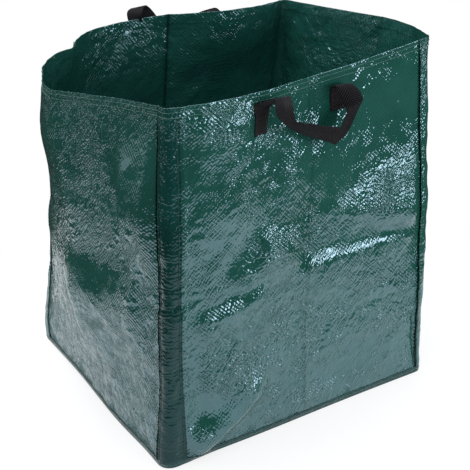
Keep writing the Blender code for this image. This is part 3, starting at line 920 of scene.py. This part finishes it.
def build_base():
    """Base with its edge turned up outside the walls, as one sheet."""
    steps = 2 * round(BASE / CLOTH_STEP / 2) + 1
    marks = np.linspace(-1, 1, steps)
    x, y = np.meshgrid(marks, marks)
    size = np.maximum(np.abs(x), np.abs(y))
    around = square_around(x, y)
    half = BASE_FABRIC / 2
    floor = laid(around, 0.0, LIP_OUT) * size[..., None]
    floor[..., 2] = half + base_lift(floor, size)
    rise = np.array((0, 0, half))
    ring = edge_of(steps, steps)
    ring_around = around.ravel()[ring]
    lip_high = np.array(LIP_HEIGHTS)[:, None]
    outside = laid(ring_around, lip_high, LIP_OUT + half)
    inside = laid(ring_around, lip_high, LIP_OUT - half)
    inside[0, :, 2] = np.maximum(inside[0, :, 2], BASE_FABRIC)
    grids = (floor - rise, floor + rise, outside, inside)
    points = np.concatenate([grid.reshape(-1, 3) for grid in grids])
    points[:, 2] = np.maximum(points[:, 2], 0)
    rows, columns = outside.shape[:2]
    top_first = steps * steps
    outside_first = 2 * top_first
    inside_first = outside_first + rows * columns
    outside_ring = outside_first + np.arange(columns)
    inside_ring = inside_first + np.arange(columns)
    last = (rows - 1) * columns
    faces = grid_faces(steps, steps, flip=True) + grid_faces(steps, steps, top_first)
    faces += grid_faces(rows, columns, outside_first, closed=True)
    faces += grid_faces(rows, columns, inside_first, flip=True, closed=True)
    faces += joined(ring, outside_ring) + joined(inside_ring, top_first + ring)
    faces += joined(outside_ring + last, inside_ring + last)
    flat_floor = flat_of(floor[..., 0], floor[..., 1], 0.0).reshape(-1, 3)
    flat_lip = flat_of(ring_around, lip_high, 0.0).reshape(-1, 3)
    flat = np.concatenate((flat_floor, flat_floor, flat_lip, flat_lip))
    piece = make_piece("base", points, faces, flat, base_cloth)
    keep_value(piece, "crinkled", 1.0)
    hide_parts("base_panel")


# The sewing

ROW_STEP = 0.001
STITCH_PITCH = 0.0042
STITCH_RADIUS = 0.00048
TAB_STITCH_PITCH = 0.0034
TAB_STITCH_RADIUS = 0.00040
# A stitch's start and end as shares of its pitch, its rings' sizes, how many points each
# has, how far its middle rises, and the reach of its rings in the thread's material
STITCH_SPAN = (0.06, 0.86)
STITCH_SWELL = (0.55, 0.95, 1.0, 0.95, 0.55)
STITCH_SIDES = 6
STITCH_RISE = 0.00030
STITCH_GRAIN = 0.0004
# How far out of the cloth the rows lie, and how much further where one crosses a strip
THREAD_OUT = 0.0003
STRIP_THREAD_OUT = 0.0004
TAB_THREAD_OUT = 0.0002
CROSSING_OUT = BAND_OUT + 0.0006
CROSSING_RAMP = 0.0025
STRIP_ROW_MARGIN = 0.002


def stitch_row(name, around, high, out, material, node, pitch=STITCH_PITCH, radius=STITCH_RADIUS):
    """Separate stitches along a path on the cloth, given by many close points of it."""
    length = length_along(laid(around, high, out))
    count = int(length[-1] / pitch)
    stations = len(STITCH_SWELL)
    share = np.linspace(*STITCH_SPAN, stations)
    at = (np.arange(count)[:, None] + share) * length[-1] / count
    centre_around, centre_high, centre_out = (np.interp(at, length, values) for values in (around, high, out))
    centre_out += STITCH_RISE * np.sin(np.linspace(0, math.pi, stations))
    centres = laid(centre_around, centre_high, centre_out)
    outward = outward_of(cloth_point, centre_around, centre_high, FOLDED_STEP)
    run = unit(np.gradient(centres, axis=1))
    across = unit(np.cross(run, outward))
    lift = np.cross(across, run)
    angle = np.arange(STITCH_SIDES) * 2 * math.pi / STITCH_SIDES
    cosine = np.cos(angle)[:, None]
    sine = np.sin(angle)[:, None]
    ring = across[:, :, None] * cosine + lift[:, :, None] * sine
    swell = radius * np.array(STITCH_SWELL)[:, None, None]
    points = (centres[:, :, None] + ring * swell).reshape(-1, 3)
    one = tube_faces(stations, STITCH_SIDES)
    faces = []
    for first in range(0, len(points), stations * STITCH_SIDES):
        faces += [[first + corner for corner in face] for face in one]
    grain = STITCH_GRAIN * np.hstack((cosine, 0 * cosine, sine))
    flat = flat_of(centre_around, centre_high, 0.0)[:, :, None] + grain
    piece = make_piece(name, points, faces, flat, material)
    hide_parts(node)


def build_sewing():
    close = np.arange(0, AROUND + ROW_STEP / 2, ROW_STEP)
    edge = BAND_WIDTH / 2 + ROW_STEP
    for name, depth in zip(("upper", "lower"), RIM_ROW_DEPTHS):
        high = np.full_like(close, WALL_HEIGHT - depth)
        beside = np.abs(beside_corner(close) - band_shift(high))
        crossing = ease((edge - beside) / CROSSING_RAMP + 0.5)
        out = FABRIC / 2 + THREAD_OUT + crossing * CROSSING_OUT
        stitch_row("rim_stitches_" + name, close, high, out, green_thread, "rim_thread_" + name)
    high = np.full_like(close, LIP_HEIGHT - LIP_ROW_DEPTH)
    out = np.full_like(close, LIP_OUT + BASE_FABRIC / 2 + THREAD_OUT)
    stitch_row("base_stitches", close, high, out, green_thread, "base_thread")
    inset = BAND_WIDTH / 2 - BAND_ROW_INSET
    top = WALL_HEIGHT - RIM_ROW_DEPTHS[-1] - STRIP_ROW_MARGIN
    high = np.arange(BAND_FOOT + STRIP_ROW_MARGIN, top, ROW_STEP)
    out = np.full_like(high, BAND_OUT + FABRIC / 2 + STRIP_THREAD_OUT)
    for corner in range(4):
        for side, sign in (("left", -1), ("right", 1)):
            around = corner * BASE + sign * inset + band_shift(high)
            end = CORNER_NAMES[corner] + "_" + side
            stitch_row("strip_stitches_" + end, around, high, out, strip_thread, "corner_thread_" + end)


# The handles

class Hinge:
    """Fold line of a handle, as the CAD has it."""

    def __init__(self, side):
        wall, shift, spread, leans, rises = HANDLES[side]
        middle = wall * BASE + BASE / 2 + shift
        self.tabs = (middle - spread / 2, middle + spread / 2)
        face = TAB_OUT + WEBBING_THICKNESS / 2
        upward = Vector((0, 0, 1))
        tops = [Vector(laid_smooth(around, TAB_TOP, face)) for around in self.tabs]
        level = (tops[1] - tops[0]).normalized()
        outward = level.cross(upward).normalized()
        folds = [top + level * lean + outward * HINGE_OUT + upward * rise
                 for top, lean, rise in zip(tops, leans, rises)]
        along = (folds[1] - folds[0]).normalized()
        out = along.cross(upward).normalized()
        self.start = np.array(folds[0])
        self.axes = np.array((along, out, out.cross(along)))

    def point(self, places):
        """Points from their distances along the fold line, out from the wall and up."""
        return self.start + np.asarray(places) @ self.axes


# The strap between its sewn ends, by handle: both edges of it at each place, as
# millimetres along the fold line, out from the wall and up
STRAPS = {
    "front": (
        (-14, -11, -21, -46, -15, -14), (-2, -12, -14, -35, 1, -5), (18, 3, -2, -15, 3, -5),
        (12, 16, -11, -19, 8, -14), (15, 22, -36, -18, 18, -33), (18, 21, -40, -16, 21, -36),
        (20, 29, -41, 9, 12, -51), (44, 29, -46, 50, 9, -70), (83, 27, -56, 90, 10, -84),
        (126, 24, -65, 123, 16, -97), (133, 21, -59, 152, 13, -84), (143, 20, -44, 181, 15, -37),
        (151, 9, -38, 172, 29, -23), (146, 4, -25, 171, 26, -13), (138, 2, -11, 169, 18, -4),
        (130, 1, 2, 164, 5, 3), (131, -8, -2, 165, -7, 0),
    ),
    "back": (
        (6, -12, -12, -25, -8, -13), (13, -2, -2, -13, 2, 1), (20, 18, -25, 10, -2, -1),
        (41, 22, -42, 31, 10, -12), (61, 24, -62, 53, 14, -33), (82, 24, -66, 84, 16, -96),
        (107, 22, -34, 138, 14, -42), (124, 20, -11, 155, 9, -17), (136, 16, 2, 167, 4, -2),
        (148, 0, 9, 179, 0, 3), (155, -10, 3, 187, -6, 0),
    ),
}
# The places of each strap where it is folded hard
HARD_FOLDS = {"front": (5, 9, 11), "back": (5,)}


def strap_path(keys, hard, step):
    """Points through keys, spaced evenly along them, with a crease at each hard one."""
    at = length_along((keys[:, :3] + keys[:, 3:6]) / 2)
    gaps = np.diff(at)[:, None]
    slopes = np.diff(keys, axis=0) / gaps
    before = np.concatenate((slopes[:1], slopes))
    after = np.concatenate((slopes, slopes[-1:]))
    smooth = before.copy()
    smooth[1:-1] = (slopes[:-1] * gaps[1:] + slopes[1:] * gaps[:-1]) / (gaps[1:] + gaps[:-1])
    hard = hard[:, None]
    arriving = np.where(hard, before, smooth)
    leaving = np.where(hard, after, smooth)
    wanted = steps_between(0, at[-1], step)
    index = np.clip(np.searchsorted(at, wanted, side="right") - 1, 0, len(at) - 2)
    span = gaps[index]
    part = ((wanted - at[index])[:, None]) / span
    return (keys[index] * (2 * part ** 3 - 3 * part ** 2 + 1)
            + leaving[index] * span * (part ** 3 - 2 * part ** 2 + part)
            + keys[index + 1] * (3 * part ** 2 - 2 * part ** 3)
            + arriving[index + 1] * span * (part ** 3 - part ** 2))


STRAP_STEP = 0.0014
TAB_KEYS = 6
SECTION_POINTS = 13
BOX_POINTS = 28
LEAST_CARRIED = 0.001
# The strap's first edge is the right one at its left end, and the left at its right end
TAB_SIGNS = (1, -1)


def tab_keys(hinge, index):
    """Both edges of the webbing up its sewn end, and that the cloth carries it."""
    side = TAB_SIGNS[index] * WEBBING_WIDTH / 2
    high = np.linspace(TAB_FOOT, TAB_TOP, TAB_KEYS)
    edges = [laid(hinge.tabs[index] + offset, high, TAB_OUT) for offset in (side, -side)]
    return np.column_stack((*edges, np.ones_like(high)))


def webbing_section():
    """Points round the webbing, as distances across it and out, with round edges."""
    half = WEBBING_WIDTH / 2
    thick = WEBBING_THICKNESS / 2
    section = [(across, thick) for across in np.linspace(thick - half, half - thick, SECTION_POINTS)]
    section += [(half - thick * (1 - math.sin(angle)), thick * math.cos(angle))
                for angle in math.pi / 4 * np.arange(1, 4)]
    return np.array(section + [(-across, -depth) for across, depth in section])


def stitch_box(hinge, index, handle):
    """The box of stitches on a sewn end."""
    half = WEBBING_WIDTH / 2 - TAB_ROW_INSET
    low = TAB_FOOT + TAB_ROW_INSET
    top = TAB_TOP - TAB_ROW_INSET
    corners = [(-half, low), (half, low), (half, top), (-half, top), (-half, low)]
    box = [np.linspace(first, second, BOX_POINTS, endpoint=False)
           for first, second in zip(corners, corners[1:])]
    across, high = np.concatenate((*box, corners[-1:])).T
    out = np.full_like(high, TAB_OUT + WEBBING_THICKNESS / 2 + TAB_THREAD_OUT)
    end = ("left", "right")[index]
    stitch_row(f"{handle}_stitches_{end}", hinge.tabs[index] + across, high, out, tab_thread,
               f"{handle}_thread_{end}", pitch=TAB_STITCH_PITCH, radius=TAB_STITCH_RADIUS)


def build_handle(side):
    """One webbing handle from sewn end to sewn end, as one strap."""
    hinge = Hinge(side)
    tabs = [tab_keys(hinge, index) for index in (0, 1)]
    strap = hinge.point(np.reshape(STRAPS[side], (-1, 2, 3)) / 1000).reshape(-1, 6)
    strap = np.column_stack((strap, np.zeros(len(strap))))
    keys = np.concatenate((tabs[0], strap, tabs[1][::-1]))
    hard = np.zeros(len(keys), bool)
    hard[len(tabs[0]) + np.array(HARD_FOLDS[side])] = True
    path = strap_path(keys, hard, STRAP_STEP)
    centres = (path[:, :3] + path[:, 3:6]) / 2
    reach = (path[:, :3] - path[:, 3:6]) / WEBBING_WIDTH
    face = unit(np.cross(reach, unit(np.gradient(centres, axis=0))))
    length = length_along(centres)
    section = webbing_section()
    across, depth = section.T[:, :, None]
    points = centres[:, None] + reach[:, None] * across + face[:, None] * depth
    carried = path[:, 6]
    first_half = np.arange(len(path)) < len(path) / 2
    ends = ((first_half, length), (~first_half, length[-1] - length))
    for around, sign, (near, from_end) in zip(hinge.tabs, TAB_SIGNS, ends):
        held = (carried > LEAST_CARRIED) & near
        high = (TAB_FOOT + from_end[held])[:, None]
        on_cloth = laid(around + sign * section[:, 0], high, TAB_OUT + section[:, 1])
        share = ease(carried[held])[:, None, None]
        points[held] = on_cloth * share + points[held] * (1 - share)
    faces = tube_faces(*points.shape[:2])
    flat = flat_of(section[:, 0], length[:, None], section[:, 1])
    name = side + "_handle"
    piece = make_piece(name, points.reshape(-1, 3), faces, flat, black_webbing, body=None)
    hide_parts(name + "_end_left", name + "_end_right", name + "_loop")
    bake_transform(piece)
    for index in (0, 1):
        stitch_box(hinge, index, name)


# The studio

CAMERA_PLACE = (-0.981, -1.754, 1.151)
CAMERA_YAW = math.radians(30.15)
CAMERA_PITCH = math.radians(23.46)
CAMERA_ROLL = math.radians(-2.43)
FRAME_PIXELS = 470
FOCAL_PIXELS = 1048
SENSOR_WIDTH = 36
FLOOR_RADIUS = 0.84
FLOOR_LEVEL = -0.0005
FLOOR_COLOUR = (0.80, 0.79, 0.77, 1)
FLOOR_SHADED = (0.34, 0.35, 0.36, 1)
FLOOR_GLOW = 0.74
STUDIO_RADIUS = 3.2
STUDIO_HEIGHT = 3.0
STUDIO_LEVEL = -0.001
STUDIO_COLOUR = (0.03, 0.03, 0.03, 1)
SKY_STRENGTH = 0.70
# Softboxes: place, the point that each faces, its width and height, and its power
SOFTBOXES = {
    "softbox_right": ((1.45, -2.00, 0.84), (0.0, 0.0, 0.50), (2.1, 0.56), 29),
    "softbox_left": ((-1.70, 1.75, 0.75), (0.0, 0.0, 0.50), (2.2, 1.0), 4.5),
    "softbox_above": ((-0.3, 0.3, 2.6), (0.0, 0.0, 0.3), (1.6, 1.6), 40),
}


def build_camera():
    """The photograph's view; its focal length is known in pixels of the photograph."""
    turn = Matrix.Rotation(-CAMERA_YAW, 4, "Z")
    turn @= Matrix.Rotation(math.pi / 2 - CAMERA_PITCH, 4, "X")
    turn @= Matrix.Rotation(CAMERA_ROLL, 4, "Z")
    data = bpy.data.cameras.new("camera")
    data.sensor_width = SENSOR_WIDTH
    data.lens = FOCAL_PIXELS * SENSOR_WIDTH / FRAME_PIXELS
    data.clip_end = 50
    camera = placed("camera", data)
    camera.matrix_world = Matrix.Translation(CAMERA_PLACE) @ turn
    bpy.context.scene.camera = camera


def stage_mesh(name, points, faces, material):
    mesh = bpy.data.meshes.new(name)
    mesh.from_pydata(points, [], faces)
    mesh.materials.append(material)
    return placed(name, mesh)


def circle(radius, z, sides):
    turns = np.arange(sides) * 2 * math.pi / sides
    return [(radius * math.cos(turn), radius * math.sin(turn), z) for turn in turns]


def build_floor():
    """Pale floor that the camera sees as white, with the bag's shadow kept on it."""
    shader = Shader("floor")
    plain = shader.set(shader.node("BsdfDiffuse"), Color=FLOOR_COLOUR)
    shaded = shader.set(shader.node("BsdfDiffuse"), Color=FLOOR_SHADED)
    glow = shader.set(shader.node("Emission"), Color=WHITE, Strength=FLOOR_GLOW)
    white = shader.node("AddShader", shaded, glow)
    shown = shader.node("MixShader", shader.seen(), plain, white)
    shader.set(shader.tree.nodes["Material Output"], Surface=shown)
    rim = circle(FLOOR_RADIUS, FLOOR_LEVEL, 128)
    stage_mesh("floor", rim, [list(range(len(rim)))], shader.material)


def build_surround():
    """Dark studio floor and wall round the white floor, which the bag's gloss shows."""
    rings = ((FLOOR_RADIUS, STUDIO_LEVEL), (STUDIO_RADIUS, STUDIO_LEVEL), (STUDIO_RADIUS, STUDIO_HEIGHT))
    sides = 64
    points = [point for radius, z in rings for point in circle(radius, z, sides)]
    shader = Shader("surround")
    shader.set(shader.surface, Base_Color=STUDIO_COLOUR, Roughness=1.0, Specular_IOR_Level=0.0)
    faces = grid_faces(len(rings), sides, closed=True)
    surround = stage_mesh("surround", points, faces, shader.material)
    for ray in ("camera", "transmission", "diffuse", "shadow"):
        setattr(surround, "visible_" + ray, False)


def build_world():
    """White behind the bag, also in its gloss, and an even light from above."""
    world = bpy.data.worlds.new("studio")
    bpy.context.scene.world = world
    world.use_nodes = True
    nodes = Nodes(world.node_tree)
    strength = nodes.node("Mix", nodes.seen())
    strength.inputs[2].default_value = SKY_STRENGTH
    strength.inputs[3].default_value = 1.0
    nodes.set(nodes.tree.nodes["Background"], Color=WHITE, Strength=strength)


def build_softbox(name, place, target, size, power):
    data = bpy.data.lights.new(name, "AREA")
    data.shape = "RECTANGLE"
    data.size, data.size_y = size
    data.energy = power
    look = Vector(target) - Vector(place)
    turn = look.to_track_quat("-Z", "Y").to_matrix().to_4x4()
    placed(name, data).matrix_world = Matrix.Translation(place) @ turn


def build_studio():
    build_camera()
    build_floor()
    build_surround()
    build_world()
    for name, settings in SOFTBOXES.items():
        build_softbox(name, *settings)
    bpy.context.scene.view_settings.view_transform = "Standard"


build_studio()
for number in range(4):
    build_wall(number)
    build_band(number)
build_base()
build_sewing()
for handle_side in HANDLES:
    build_handle(handle_side)
